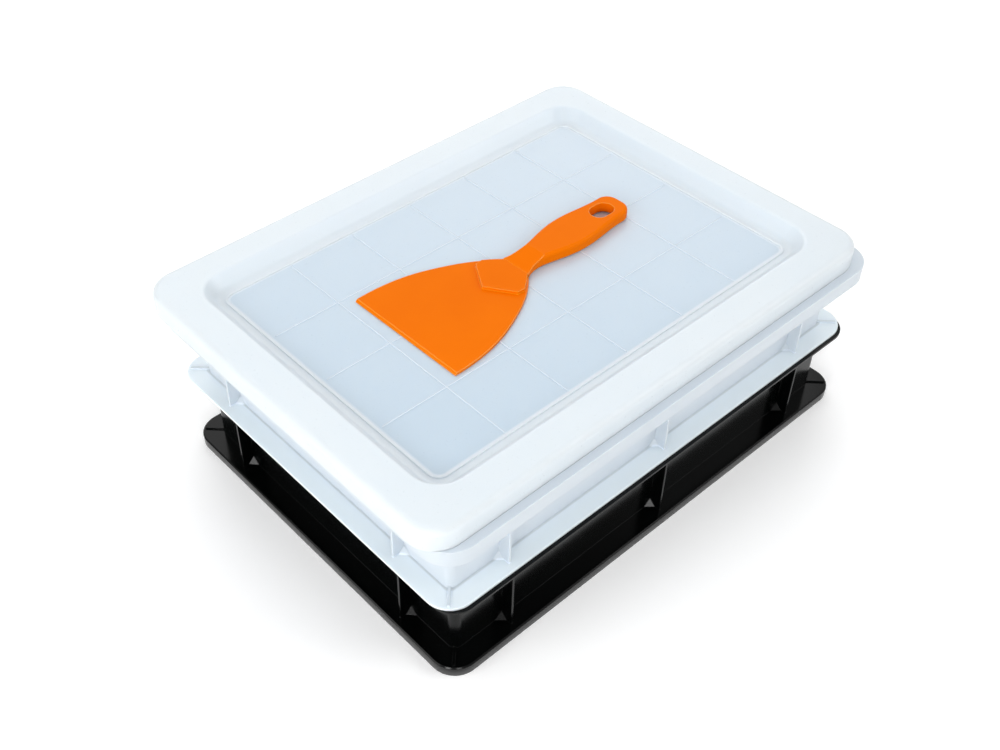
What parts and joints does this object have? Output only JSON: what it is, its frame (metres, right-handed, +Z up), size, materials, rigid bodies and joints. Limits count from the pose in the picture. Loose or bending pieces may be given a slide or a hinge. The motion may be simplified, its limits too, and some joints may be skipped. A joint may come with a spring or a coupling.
{
  "type": "stacking dough tray kit",
  "caption": "Stacking plastic food trays, opaque below and translucent above, closed by a recessed translucent lid that carries a one-piece plastic scraper; the pieces lift apart",
  "frame": {"origin": "centre of the black tray's underside", "axes": "+X along the trays' long sides, +Y along their short sides, +Z up through the stack"},
  "size_m": [0.416, 0.3075, 0.145],
  "materials": {
    "black_plastic": "opaque black polypropylene, smooth moulded satin gloss",
    "natural_plastic": "translucent natural polypropylene, smooth with a soft sheen",
    "natural_lid": "translucent natural polypropylene, thinner and brighter, soft sheen",
    "orange_plastic": "opaque orange polypropylene, satin"
  },
  "bodies": {
    "base_tray": {"black_tray": "black_plastic"},
    "upper_tray": {"clear_tray": "natural_plastic"},
    "cover": {"lid": "natural_lid"},
    "tool": {"scraper": "orange_plastic"}
  },
  "joints": [
    {"name": "clear_tray_lift", "type": "slide", "parent": "base_tray", "child": "upper_tray", "axis": [0, 0, 1], "range_m": [0, 0.12]},
    {"name": "lid_lift", "type": "slide", "parent": "upper_tray", "child": "cover", "axis": [0, 0, 1], "range_m": [0, 0.1]},
    {"name": "scraper_lift", "type": "slide", "parent": "cover", "child": "tool", "axis": [0, 0, 1], "range_m": [0, 0.08]}
  ]
}
